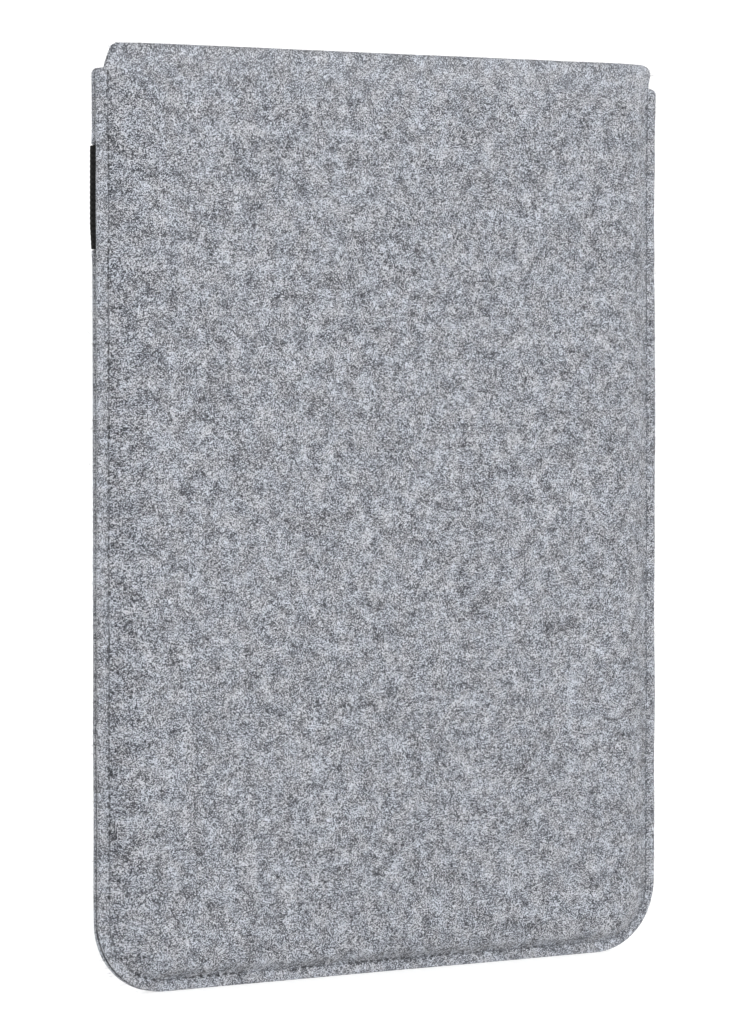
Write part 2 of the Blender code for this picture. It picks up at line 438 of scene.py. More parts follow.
def waist(x, z):
    """How far the strap's pull draws the right edge in: a bell along it, faded inwards."""
    along = np.exp(-((z - (strap_low.z + strap_high.z) / 2) / WAIST_REACH) ** 2)
    return WAIST * along * smooth((x - HALF + WAIST_FADE) / WAIST_FADE)


def parting(x, z):
    """How far each layer is pushed out by the strap's sewn end."""
    near_edge = smooth((np.abs(x) - HALF + 12 * MM) / (7 * MM))
    return STRAP_PART * strap_window(z, PART_FADE, PART_FADE) * near_edge


def lumps(x, z, seed):
    """Soft unevenness of the felt over the pocket, faded out towards the seam."""
    inset, _ = seam_inset(x, z)
    high = 0.10 * MM * ripple(x, z, seed, 45 * MM) + 0.05 * MM * ripple(x, z, seed + 1, 11 * MM)
    return high * smooth((inset - 3 * MM) / (12 * MM))


def slant_thickness(x, z):
    """Felt measured along Y: more where the panel slopes, so that it stays even."""
    step = 0.2 * MM
    slope = np.hypot((panel_rise(x + step, z) - panel_rise(x - step, z)) / (2 * step),
                     (panel_rise(x, z + step) - panel_rise(x, z - step)) / (2 * step))
    return FELT * np.sqrt(1 + slope ** 2)


print("groove", GROOVE_DEPTH, "layers parted by", round(STRAP_PART, 5), "each at the strap")

# %% [markdown]
# ## A grid for a felt layer
# The grid is dense where the shape turns: on the rounding of the cut edge, across the
# groove and at the bends. Near a cut edge the felt's two skins come together along a
# half ellipse, so that the edge is soft and the solid is closed.

# %% Grid spacing and the rounded cut edge
RIM = 0.85 * MM             # width of the rounded part of a cut edge
RIM_POWER = 2.1             # 2 would be a true ellipse


def from_edge(fine_to, coarse, reach):
    """Insets from an edge: close together on its rounding, then finer to coarser."""
    rounding = RIM * (1 - np.cos(np.linspace(0, np.pi / 2, 7)))
    fine = np.arange(RIM + 0.45 * MM, fine_to, 0.45 * MM)
    spread = [fine[-1]]
    step = 0.5 * MM
    while spread[-1] < reach:
        step = min(step * 1.12, coarse)
        spread.append(spread[-1] + step)
    return np.concatenate([rounding, fine, spread[1:]])


def steps(start, end, step):
    """Evenly spaced places from start up to but not at the end."""
    count = max(1, round((end - start) / step))
    return start + (end - start) * np.arange(count) / count


def columns():
    """Places across the cloth from -1 to 1, closest together at the two edges."""
    side = 1 - from_edge(7 * MM, 2.4 * MM, 26 * MM) / HALF
    middle = np.linspace(-side[-1], side[-1], 2 * int(side[-1] * HALF / (2.6 * MM)) + 1)
    return np.concatenate([-side[:-1], middle, side[:-1][::-1]])


def spread_across(a, half_width):
    """Columns laid over the cut: they keep their places except near the side edges."""
    pulled = (HALF - half_width) * np.abs(a) ** 2.5
    return np.sign(a) * (np.abs(a) * HALF - pulled)


def rim_distance(x, s, rows, half_width):
    """Distance from each place to the cut's outline, a line through (half width, row)."""
    line = np.stack([np.concatenate([[0.0], half_width, [0.0]]),
                     np.concatenate([rows[:1], rows, rows[-1:]])], 1)
    point = np.stack([np.abs(x).ravel(), s.ravel()], 1)
    nearest = np.full(len(point), np.inf)
    for one, other in zip(line[:-1], line[1:]):
        run = other - one
        t = np.clip((point - one) @ run / max(run @ run, 1e-18), 0, 1)
        nearest = np.minimum(nearest, np.hypot(*(point - one - t[:, None] * run).T))
    return nearest.reshape(x.shape)


def edge_fullness(distance, rim, power):
    """Share of its thickness that a sheet has that far from its rounded edge."""
    t = np.clip(distance / rim, 0.0, 1.0)
    return (1 - (1 - t) ** power) ** (1 / power)


ACROSS = columns()
print(len(ACROSS), "columns")


# %% Two skins into one closed mesh
def add_piece(name, vertices, faces, material, attributes):
    """A smooth mesh object from arrays, with vectors kept on its points."""
    mesh = bpy.data.meshes.new(name)
    mesh.from_pydata(vertices.tolist(), [], faces)
    for key, values in attributes.items():
        attribute = mesh.attributes.new(key, "FLOAT_VECTOR", "POINT")
        attribute.data.foreach_set("vector", values.astype(np.float32).ravel())
    mesh.shade_smooth()
    mesh.materials.append(material)
    piece = bpy.data.objects.new(name, mesh)
    bpy.context.scene.collection.objects.link(piece)
    print(f"{name}: {len(mesh.vertices)} points, {len(mesh.polygons)} faces")
    return piece


def quads(grid, flip=False):
    """The four corners of every cell of a grid of point numbers."""
    ring = [grid[:-1, :-1], grid[:-1, 1:], grid[1:, 1:], grid[1:, :-1]]
    return np.stack(ring[::-1] if flip else ring, -1).reshape(-1, 4)


def two_skins(name, outer, inner, attributes, closed_ends, material):
    """A closed mesh from an outer and an inner skin, each rows by columns by 3.

    The skins share their side columns and the rows of a closed end. An open end is
    where another piece carries on, and gets a flat cut through the sheet. Each
    attribute is a pair of arrays, one for each skin.
    """
    rows, cols = outer.shape[:2]
    top = np.arange(rows * cols).reshape(rows, cols)
    under = top + rows * cols
    under[:, 0], under[:, -1] = top[:, 0], top[:, -1]
    for end, closed in zip((0, -1), closed_ends):
        if closed:
            under[end] = top[end]
    faces = [quads(top), quads(under, True)]
    for end, closed in zip((0, -1), closed_ends):
        if not closed:
            faces.append(quads(np.stack([top[end], under[end]]), end == 0))
    used, faces = np.unique(np.concatenate(faces), return_inverse=True)
    faces = faces.reshape(-1, 4)
    vertices = np.concatenate([outer.reshape(-1, 3), inner.reshape(-1, 3)])[used]
    kept = {key: np.concatenate([pair[0].reshape(-1, 3), pair[1].reshape(-1, 3)])[used]
            for key, pair in attributes.items()}

    a, b, c, d = (vertices[faces[:, k]] for k in range(4))
    volume = (a * np.cross(b, c)).sum() + (a * np.cross(c, d)).sum()
    if volume < 0:
        faces = faces[:, ::-1]
    shapes = [tuple(dict.fromkeys(face)) for face in faces.tolist()]
    shapes = [face for face in shapes if len(face) > 2]
    return add_piece(name, vertices, shapes, material, kept)


# %% [markdown]
# ## The felt's finish
# Felt is matted wool of several greys: dark, middle and nearly white hairs lie in every
# direction. Close up it is a grain of half a millimetre; from further away it clumps into
# cloudy patches of a few millimetres. A noise stretched in several directions makes the
# lie of the hairs, a fine noise and a cell pattern the grain between them, and slower
# noises the patches. Single hairs are thin lines where another noise crosses its middle
# value. The pattern is read in the flat cloth's own coordinates, the `cloth` attribute, so
# it bends with the felt. A second attribute, `seam`, holds the place along and across the
# stitch line and how tight the thread is there. It places painted shade in the needle holes
# and the creases between them, darker where the thread is tight, painted shade on the slopes
# beside the seam and in the cleft between the layers' cut edges, and a lighter margin outside
# the seam. Painted highlight lies over the top bend.

# %% Felt material
COOL = (0.985, 1.000, 1.020)
WARM = (1.012, 0.997, 0.985)
DARK_WOOL = (0.926, 1.002, 1.190)   # all the greys are a little blue, the dark ones most
MIDDLE_WOOL = (0.956, 1.002, 1.109)
LIGHT_WOOL_TINT = (0.966, 1.002, 1.085)
STITCH = 3.4 * MM

HAIR_TURNS = [0.35, 1.25, 2.15, 2.85]
HAIR_SCALE = (560.0, 2900.0, 900.0)     # scales are per metre: along a hair, across, deep
FLECK_SCALE = 2700.0
GRAIN_SCALE = 2200.0
PATCH_SCALE = 180.0
CLOUD_SCALE = 42.0
BEND_SCALE = 330.0                      # of the slow noise that bends the hairs
STRAY_SCALE = 240.0
HUE_SCALE = 130.0


def wool_tone(felt, cloth, bent):
    """How light the wool is at a place, about 0 to 1: grain, hairs and patches added up."""
    grain = felt.noise(cloth, GRAIN_SCALE, 1.5, 0.7) - 0.5
    flecks = felt.node("ShaderNodeTexVoronoi", "Color", Vector=cloth, Scale=FLECK_SCALE)
    flecks = felt.split(flecks)[0] - 0.5
    hairs = 0.0
    along, across, deep = HAIR_SCALE
    for number, turn in enumerate(HAIR_TURNS):
        lie = felt.stretch(bent, (along, across, deep + 60.0 * number), turn)
        hairs = felt.noise(lie, 1.0, 0.0) - 0.5 + hairs
    patches = felt.noise(cloth, PATCH_SCALE, 3.0, 0.6) - 0.5
    clouds = felt.noise(cloth, CLOUD_SCALE, 2.0, 0.5) - 0.5
    return grain * 4.9 + flecks * 1.3 + hairs * 1.1 + patches * 1.8 + clouds * 0.45 + 0.5


def stray_hairs(felt, cloth, bent):
    """1 on single light hairs: the thin lines where a noise crosses its middle value."""
    strays = felt.noise(bent, STRAY_SCALE, 1.0) - 0.5
    stray = felt.range(strays.math("ABSOLUTE"), 0.0, 0.014, 1.0, 0.0)
    return stray * felt.range(felt.noise(cloth, 420.0, 0.0), 0.50, 0.60)


def needle_hole_shade(felt, along, across, tight):
    """Painted shade in the long needle holes and in the faint creases between them, where the
    thread is tight.

    The shade at each of the needle holes is a smooth spot by the distance from its middle,
    which counts less along the seam than across it.
    """
    hole_gap = (0.5 - (along * (1.0 / STITCH)).math("FRACT")).math("ABSOLUTE")
    hole_gap = (0.5 - hole_gap) * (0.45 * STITCH)
    far = (hole_gap * hole_gap + across * across).math("SQRT")
    drawn = felt.range(tight, 0.10, 0.75)
    crease_shade = felt.range(across.math("ABSOLUTE"), 0.10 * MM, 0.45 * MM, 0.22, 0.0)
    hole_shade = felt.range(far, 0.20 * MM, 0.75 * MM, 0.85, 0.0, smooth=True)
    return hole_shade.math("MAXIMUM", crease_shade) * drawn


def cleft_shade(felt, across, height, depth):
    """Darkness of a cut edge's inner rim, where it meets the next layer.

    It is strongest near the bottom, and strong again on the flap.
    """
    inner = felt.range(depth, 0.82 * FELT, 0.93 * FELT)
    rim = felt.range(across, 1.9 * MM - STITCH_INSET, 1.2 * MM - STITCH_INSET)
    low = felt.range(height, 0.16, 0.02, 0.28, 0.82)
    return inner * rim * (low + felt.range(height, 0.36, 0.37, 0.0, 0.5))


def felt_finish(name):
    felt = Finish(name, roughness=0.95, sheen=0.12)
    cloth = felt.attribute("cloth")
    _, height, depth = felt.split(cloth)
    along, across, tight = felt.split(felt.attribute("seam"))
    slow = felt.noise(cloth, BEND_SCALE, 1.0, output="Color")
    nudge = felt.vector_math("SUBTRACT", slow, (0.5, 0.5, 0.5))
    bent = felt.vector_math("MULTIPLY_ADD", nudge, (0.005, 0.005, 0.005), cloth)

    tone = wool_tone(felt, cloth, bent)
    stray = stray_hairs(felt, cloth, bent)
    body = felt.mix(felt.range(tone, -0.15, 0.5), grey(0.038, DARK_WOOL), grey(0.209, MIDDLE_WOOL))
    body = felt.mix(felt.range(tone, 0.5, 1.15), body, grey(0.65, LIGHT_WOOL_TINT))
    body = felt.mix(stray * 0.4, body, grey(0.56, LIGHT_WOOL_TINT))

    # Painted shade on the panel's slopes just inside the side and bottom seams, stronger towards
    # the bottom.
    inside = felt.range(across, -1.0 * MM, 1.0 * MM)
    seam_slope_shade = felt.range(across, SIDE_RUN, 0.0, smooth=True) * inside
    seam_slope_shade = seam_slope_shade * felt.range(height, 0.30, 0.06, 0.02, 0.11)
    body = felt.mix(seam_slope_shade, body, grey(0.0))
    # Painted highlight near the top, where the felt rounds over the bend.
    top_bend_highlight = felt.range(height, 0.330, 0.346) * felt.range(height, 0.39, 0.37)
    body = felt.mix(top_bend_highlight * 0.12, body, grey(0.59, LIGHT_WOOL_TINT))
    # The sewn margin outside the stitch line is made a little lighter.
    lighter_margin = felt.range(across, -1.0 * MM, -2.2 * MM) * felt.range(tight, 0.10, 0.30)
    body = felt.mix(lighter_margin * 0.07, body, grey(0.59, LIGHT_WOOL_TINT))
    # Painted shade in the needle holes and the creases between them, darker where the thread is
    # tight.
    hole_shade = needle_hole_shade(felt, along, across, tight)
    body = felt.mix(hole_shade, body, grey(0.020, DARK_WOOL))
    body = felt.mix(cleft_shade(felt, across, height, depth), body, grey(0.022, DARK_WOOL))

    hue = felt.range(felt.noise(cloth, HUE_SCALE, 2.0), 0.38, 0.62, smooth=True)
    tint = felt.mix(hue, (*COOL, 1.0), (*WARM, 1.0))
    felt.link("Base Color", felt.mix(1.0, body, tint, "MULTIPLY"))
    felt.link("Roughness", felt.range(tone, 0.0, 1.0, 1.0, 0.86))
    felt.bump(tone + stray * 0.6 - hole_shade * 1.5, 0.00018, 0.8)
    return felt.material


FELT_FINISH = felt_finish("felt")
print("felt finish made with", len(FELT_FINISH.node_tree.nodes), "nodes")

# %% [markdown]
# ## The back layer with its flap
# The felt goes up the back, bends over the top of the pocket, crosses it and bends down
# the front. Seen from the side that is a path of straight runs and quarter arcs, and the
# cloth's length `s` is measured along it. The flap swings on two lines, so the cloth is
# made as two pieces that meet in the middle of the ridge, and each piece bends across
# one of the two lines.

# %% Path of the back cut
S_BEND = BEND_Z - BEND_RADIUS
S_RIDGE = S_BEND + BEND_RADIUS * np.pi / 2
RIDGE_FLAT = FRONT_BEND_Y - BACK_BEND_Y - 2 * BEND_RADIUS
S_SPLIT = S_RIDGE + RIDGE_FLAT / 2
S_TURN = S_RIDGE + RIDGE_FLAT
S_HANG = S_TURN + BEND_RADIUS * np.pi / 2
S_END = S_HANG + S_BEND - flap_low.z
DROOP = 3.0 * MM            # how far the flap's long edges sink towards the front layer
ROOT_LIFT = 1.1 * MM        # the felt's sides stand off the seam above the shoulders
BEND_SWELL = 0.3 * MM       # the outer face stands out over the ridge


def flap_droop(x, s):
    """How far the flap sinks at its sides: nothing in the middle, most at its edges."""
    aside = np.clip((np.abs(x) / FLAP_HALF - 0.79) / 0.21, 0, 1.4)
    return DROOP * aside ** 4 * smooth((s - S_TURN) / (40 * MM) + 0.35)


def back_surface(x, s, depth):
    """Points of the back cut at cloth places (x, s), depth in from its outer face.

    The path of the felt's middle is up, a quarter arc, level, a quarter arc, down; the
    depth is laid off along the path's normal, which turns from -Y by +Z to +Y.
    """
    z = np.minimum(s, S_BEND)
    beside = smooth(1 - (HALF - np.abs(x)) / SIDE_RUN)
    lift = ROOT_LIFT * smooth((s - SHOULDER_Z) / (6 * MM)) * beside
    rise = panel_rise(x, z) + lift + parting(x, z) + lumps(x, z, 3)
    back_y = SEAM_Y + sway(x, z) * smooth((S_RIDGE - s) / (30 * MM)) - rise + FELT / 2
    front_y = FRONT_BEND_Y - flap_droop(x, s)
    turn_1 = np.clip((s - S_BEND) / BEND_RADIUS, 0, np.pi / 2)
    turn_2 = np.clip((s - S_TURN) / BEND_RADIUS, 0, np.pi / 2)
    across = np.clip((s - S_RIDGE) / RIDGE_FLAT, 0, 1)
    reach = (front_y - back_y - 2 * BEND_RADIUS) * across
    y = back_y + BEND_RADIUS * (1 - np.cos(turn_1) + np.sin(turn_2)) + reach
    up = S_BEND + BEND_RADIUS * (np.sin(turn_1) - 1 + np.cos(turn_2))
    height = np.where(s <= S_BEND, s, up - np.clip(s - S_HANG, 0, None))
    angle = turn_1 + turn_2
    high = smooth((s - S_BEND) / (10 * MM))
    flap_lumps = 0.10 * MM * ripple(x, s, 5, 40 * MM) + 0.05 * MM * ripple(x, s, 6, 11 * MM)
    off = FELT / 2 - depth + high * (flap_lumps + 0.1 * MM) + BEND_SWELL * np.sin(angle)
    placed_x = x - waist(x, s) + FLAP_SHIFT * smooth((s - SHOULDER_Z) / ROOT_RUN)
    return np.stack([placed_x, y - np.cos(angle) * off, height + np.sin(angle) * off], -1)


def skins(surface, x, s, outline, dent, thickness):
    """A sheet's outer and inner skin, which meet halfway down at a cut edge.

    Above the shoulders there is no seam, and the edge of the cut takes its place.
    """
    middle = FELT / 2
    fullness = edge_fullness(outline, RIM, RIM_POWER)
    depths = [middle + fullness * (dent - middle), middle + fullness * (thickness - middle)]
    inset, _ = seam_inset(x, s)
    length = seam_length(x, s)
    sewn = s <= SHOULDER_Z
    across = np.where(sewn, inset, outline) - STITCH_INSET
    seam = np.stack([length, across, tightness(length) * sewn], -1)
    attributes = {"cloth": [np.stack([x, s, depth + 0 * x], -1) for depth in depths],
                  "seam": [seam, seam]}
    return surface(x, s, depths[0]), surface(x, s, depths[1]), attributes


foot = from_edge(12 * MM, 0.9 * MM, CORNER)
shoulder = SHOULDER_Z - np.array([3.6, 2.9, 2.2, 1.6, 1.1, 0.7, 0.4, 0.2, 0.05, 0.0]) * MM
rows_back = np.concatenate([
    foot,
    steps(foot[-1] + 1.5 * MM, SHOULDER_Z - 10 * MM, 2.4 * MM),
    steps(SHOULDER_Z - 10 * MM, shoulder[0], 1.0 * MM),
    shoulder,
    steps(SHOULDER_Z + 0.1 * MM, S_BEND, 0.5 * MM),
    steps(S_BEND, S_RIDGE, 0.3 * MM),
    steps(S_RIDGE, S_SPLIT, 0.8 * MM),
    [S_SPLIT]])
tail = (S_END - from_edge(3 * MM, 1.0 * MM, FLAP_CORNER))[::-1]
rows_flap = np.concatenate([
    steps(S_SPLIT, S_TURN, 0.8 * MM),
    steps(S_TURN, S_HANG, 0.3 * MM),
    steps(S_HANG, tail[0] - 1.0 * MM, 2.4 * MM),
    tail])
rows_whole = np.concatenate([rows_back, rows_flap[1:]])
print("back cut", round(S_END, 4), "m long, divided at", round(S_SPLIT, 4))


# %% Back felt and flap
def back_cut_piece(name, rows, closed_ends):
    """One of the two pieces of the back cut, between its first and last row."""
    x = spread_across(ACROSS, back_cut_half_width(rows, S_END)[:, None])
    s = np.broadcast_to(rows[:, None], x.shape)
    outline = rim_distance(x, s, rows_whole, back_cut_half_width(rows_whole, S_END))
    upright = smooth((SHOULDER_Z - s) / (8 * MM))
    thickness = FELT + (slant_thickness(x, np.minimum(s, S_BEND)) - FELT) * upright
    dent = groove(x, s) * (s < SHOULDER_Z)
    return two_skins(name, *skins(back_surface, x, s, outline, dent, thickness),
                     closed_ends, FELT_FINISH)


felt_back = back_cut_piece("felt_back", rows_back, (True, False))
felt_flap = back_cut_piece("felt_flap", rows_flap, (False, True))

# %% [markdown]
# ## The front layer
# The same cut without a flap: its top edge is the mouth of the pocket, and it is dished
# the other way. The elastic strap passes round its edges under tension and pulls them in.

# %% Front layer
STRAP_PULL = 0.9 * MM       # how far the strap draws the front layer's edges in
LOWER_PULL = 0.4 * MM       # and how much further at its own lower edge
PULL_FADE = 0.4 * MM


def lower_draw(z):
    """How much further the strap's pull goes near its lower edge."""
    lower = smooth((strap_low.z + 10 * MM - z) / (10 * MM))
    return LOWER_PULL * lower * strap_window(z, PULL_FADE, PULL_FADE)


def strap_bite(z):
    """How far the strap pulls the front layer's edge in."""
    return STRAP_PULL * strap_window(z, PULL_FADE, PULL_FADE) + lower_draw(z)


def front_half_width(s):
    return body_half_width(s) - strap_bite(s)


def front_surface(x, s, depth):
    """Points of the front layer at cloth places (x, s), depth in from its outer face."""
    high = panel_rise(x, s) + parting(x, s) + lumps(x, s, 13) - 0.15 * MM
    y = SEAM_Y + sway(x, s) + high - depth + 0 * s
    return np.stack([x - waist(x, s), y, s + 0 * x], -1)


mouth = (SHOULDER_Z - from_edge(4 * MM, 1.5 * MM, 10 * MM))[::-1]
rows_front = np.concatenate([
    foot,
    steps(foot[-1] + 1.5 * MM, strap_low.z - 5 * MM, 2.4 * MM),
    steps(strap_low.z - 5 * MM, strap_low.z + 12 * MM, 0.5 * MM),
    steps(strap_low.z + 12 * MM, strap_high.z - 3 * MM, 2.0 * MM),
    steps(strap_high.z - 3 * MM, strap_high.z + 2 * MM, 0.5 * MM),
    steps(strap_high.z + 2 * MM, mouth[0], 2.0 * MM),
    mouth])
x = spread_across(ACROSS, front_half_width(rows_front)[:, None])
s = np.broadcast_to(rows_front[:, None], x.shape)
outline = rim_distance(x, s, rows_front, front_half_width(rows_front))
felt_front = two_skins(
    "felt_front",
    *skins(front_surface, x, s, outline, groove(x, s), slant_thickness(x, s)),
    (True, True), FELT_FINISH)

# %% [markdown]
# ## The elastic strap
# A flat woven elastic, ribbed along its length, is caught in both side seams. It comes
# out between the layers, wraps the front layer's cut edge and lies across the flap. Its
# route seen from above is a straight end, an arc round the edge, and then the tightest
# line over the flap, as for a band under tension. That last part is the upper hull of
# the arc and the flap: at each place, the highest chord between any two of their points.

# %% Strap route
WRAP_RADIUS = FELT / 2 + 0.05 * MM + STRAP_THICK / 2
WRAP_X = -(HALF - STRAP_PULL) + FELT / 2
WRAP_Y = SEAM_Y + WRAP_RADIUS
STRAP_END = 117 * MM        # half the distance between its two sewn ends


def upper_hull(x, y, at):
    """Height over each place of the highest chord between two of the given points."""
    i, j = np.triu_indices(len(x), 1)
    run = np.maximum(x[j] - x[i], 1e-9)
    t = (at[:, None] - x[i]) / run
    chord = np.where((t >= 0) & (t <= 1), y[i] + t * (y[j] - y[i]), -1.0)
    return chord.max(1)


wrap_turn = np.linspace(-np.pi / 2, -np.pi, 9)
wrap_x = WRAP_X + WRAP_RADIUS * np.cos(wrap_turn)
wrap_y = WRAP_Y + WRAP_RADIUS * np.sin(wrap_turn)
hull_turn = np.linspace(np.pi, np.pi / 2, 19)
flap_x = np.linspace(-FLAP_HALF, 0, 60)
rest_x = np.concatenate([WRAP_X + WRAP_RADIUS * np.cos(hull_turn), flap_x])
flap_face = FRONT_BEND_Y + FELT / 2 - flap_droop(flap_x, S_END - 60 * MM)
rest_y = np.concatenate([WRAP_Y + WRAP_RADIUS * np.sin(hull_turn),
                         flap_face + STRAP_THICK / 2 + 0.35 * MM])
front_x = np.concatenate([rest_x[1:19], np.linspace(rest_x[18] + 0.4 * MM, 0, 90)])
front_y = upper_hull(rest_x, rest_y, front_x)
left_x = np.concatenate([steps(-STRAP_END, WRAP_X, -1.0 * MM), wrap_x, front_x])
straight = np.full(len(left_x) - len(wrap_x) - len(front_x), SEAM_Y)
left_y = np.concatenate([straight, wrap_y, front_y])
route_x = np.concatenate([left_x, -left_x[-2::-1]])
route_y = np.concatenate([left_y, left_y[-2::-1]])
route_u = np.concatenate([[0], np.cumsum(np.hypot(np.diff(route_x), np.diff(route_y)))])
print("strap", len(route_x), "rows,", round(route_u[-1], 3), "m along its middle")

# %% Elastic material
RIB = 1.9 * MM
FLOAT = 0.9 * MM            # length of one dark and one light float of the weave


def elastic_finish(name):
    """Black ribs with a fine weave: short dark and grey floats, staggered in each rib."""
    elastic = Finish(name, roughness=0.8, specular=0.08)
    along, across, _ = elastic.split(elastic.attribute("cloth"))
    rib = (across * (2 * math.pi / RIB)).math("COSINE")
    float_wave = (along * (2 * math.pi / FLOAT) + rib * 1.6).math("SINE")
    fray = elastic.noise(elastic.attribute("cloth"), 900.0, 2.0, 0.6) - 0.5
    weave = float_wave * 0.25 + rib * 0.25 + fray * 1.2 + 0.5
    colour = elastic.mix(elastic.range(weave, 0.0, 1.1), grey(0.005), grey(0.024))
    elastic.link("Base Color", colour)
    elastic.link("Roughness", elastic.range(weave, 0.0, 1.0, 0.9, 0.7))
    elastic.bump(weave, 0.00009, 0.8)
    return elastic.material


# %% Strap
def strap_surface(v, side):
    """One face of the strap: the route moved sideways by half its ribbed thickness.

    Across its width, v, the strap is half a thickness to each side with a cosine rib,
    rounded off at its two long edges, and its lower edge is drawn in where it turns.
    """
    width = (strap_high.z - strap_low.z) / 2
    full = edge_fullness(width - np.abs(v), STRAP_THICK / 2, 2.0)
    thick = STRAP_THICK / 2 * full + 0.05 * MM * full * np.cos(2 * np.pi * v / RIB)
    run_x, run_y = np.gradient(route_x), np.gradient(route_y)
    run = np.hypot(run_x, run_y)
    normal_x, normal_y = -run_y / run, run_x / run
    z = (strap_low.z + strap_high.z) / 2 + v
    turned = smooth((np.abs(route_x) - 108 * MM) / (13 * MM))[:, None]
    x = route_x[:, None] - np.sign(route_x)[:, None] * lower_draw(z) * turned
    x = x - waist(x, z)
    x = x + normal_x[:, None] * thick * side
    y = route_y[:, None] + normal_y[:, None] * thick * side + sway(x, z) * turned
    return np.stack([x, y, z + 0 * x], -1)


half_width = (strap_high.z - strap_low.z) / 2
edge_v = half_width - STRAP_THICK / 2 * (1 - np.cos(np.linspace(0, np.pi / 2, 5)))
strap_v = np.concatenate([-edge_v[:-1], np.linspace(-edge_v[-1], edge_v[-1], 115), edge_v[-2::-1]])
flat = np.stack([route_u[:, None] + 0 * strap_v, strap_v + 0 * route_u[:, None]], -1)
strap_cloth = [np.concatenate([flat, np.full((*flat.shape[:2], 1), depth)], -1)
               for depth in (0.0, STRAP_THICK)]
woven_strap = two_skins("woven_strap", strap_surface(strap_v, 1), strap_surface(strap_v, -1),
                        {"cloth": strap_cloth}, (False, False), elastic_finish("elastic"))

# %% [markdown]
# ## Stitches
# The seam is a machine lockstitch in grey thread: on each face it shows as a row of short
# stitches that dive into the felt at the needle holes. One stitch is a bead with a few
# dozen faces: six-sided rings along a little arc, wide in the middle and thin at its ends.


# %% Tubes along many short paths
TWIST = 0.55 * MM           # pitch of the thread's strands
STITCH_PROUD = 0.16 * MM    # a stitch's middle stands this far above the groove's floor
STITCH_DIVE = 0.75 * MM     # its ends go this far down into the needle holes
STITCH_DRAWN = 0.60 * MM    # and all of it goes this much deeper where the thread is tight


def tubes(name, centre, normal, radius, sides, attributes, material):
    """Closed tubes, one for each row of centre: rings of points round its path.

    centre and normal are tubes by rings by 3, and radius is tubes by rings.
    """
    count, rings = centre.shape[:2]
    along = np.gradient(centre, axis=1)
    along /= np.linalg.norm(along, axis=-1, keepdims=True)
    side = np.cross(along, normal)
    side /= np.maximum(np.linalg.norm(side, axis=-1, keepdims=True), 1e-9)
    up = np.cross(side, along)
    turn = np.arange(sides) * 2 * np.pi / sides
    spoke = (side[:, :, None] * np.cos(turn)[:, None] + up[:, :, None] * np.sin(turn)[:, None])
    points = centre[:, :, None] + spoke * radius[:, :, None, None]
    number = np.arange(count * rings * sides).reshape(count, rings, sides)
    turned = np.roll(number, -1, axis=2)
    walls = np.stack([number[:, :-1], number[:, 1:], turned[:, 1:], turned[:, :-1]], -1)
    caps = [number[:, 0], number[:, -1, ::-1]]
    faces = walls.reshape(-1, 4).tolist() + np.concatenate(caps).tolist()
    spread = {key: np.repeat(values.reshape(count * rings, 3), sides, axis=0)
              for key, values in attributes.items()}
    return add_piece(name, points.reshape(-1, 3), faces, material, spread)


def thread_finish(name):
    """Grey thread of twisted strands: slanting stripes along and round each stitch."""
    thread = Finish(name, roughness=0.8, sheen=0.1)
    along, across, _ = thread.split(thread.attribute("cloth"))
    twist = (along * (2 * math.pi / TWIST) + across * 9.0).math("SINE")
    fray = thread.noise(thread.attribute("cloth"), 1600.0, 2.0) - 0.5
    weave = twist * 0.25 + fray + 0.5
    thread.link("Base Color", thread.mix(weave, grey(0.070, DARK_WOOL), grey(0.21, MIDDLE_WOOL)))
    thread.bump(weave, 0.00007, 0.7)
    return thread.material


THREAD_FINISH = thread_finish("thread")


def stitch_row(name, surface):
    """The stitches on one face, along the seam at the bottom of its groove."""
    count = round(SEAM_WHOLE / STITCH)
    t = np.linspace(-0.42, 0.42, 7)
    length = (np.arange(count)[:, None] + 0.5 + t) * SEAM_WHOLE / count
    x, z = seam_place(length)
    dive = (2.2 * np.abs(t)) ** 4
    depth = groove(x, z) - STITCH_PROUD + STITCH_DIVE * dive + STITCH_DRAWN * tightness(length)
    centre = surface(x, z, depth)
    normal = surface(x, z, depth - 1 * MM) - centre
    radius = (THREAD_HALF * 0.72) * (1 - 0.45 * dive) + 0 * length
    cloth = np.stack([length, x * 0, z * 0], -1)
    return tubes(name, centre, normal, radius, 6, {"cloth": cloth}, THREAD_FINISH)


back_stitches = stitch_row("back_stitches", back_surface)
front_stitches = stitch_row("front_stitches", front_surface)

# %% [markdown]
# ## Loose fibres
# What makes felt look soft is the fuzz: single wool fibres that stand a little off the
# face and, at the edges, past the outline. Each is a thin three-sided tube along a curved
# line in the cloth's own coordinates, so it follows the felt wherever that bends. Where it
# starts, its direction, its bend and its lift are random with a set seed.


# %% Fibres
def fibre_finish(name, light, dark):
    """Wool fibres of one shade, each a little lighter or darker than the next."""
    wool = Finish(name, roughness=0.85, sheen=0.2)
    shade = wool.noise(wool.attribute("cloth"), 240.0, 1.0)
    shade = wool.range(shade, 0.35, 0.65)
    wool.link("Base Color", wool.mix(shade, grey(dark), grey(light, (0.97, 1.0, 1.05))))
    return wool.material


LIGHT_WOOL = fibre_finish("light wool", 0.55, 0.24)
FIBRE_RINGS = 4


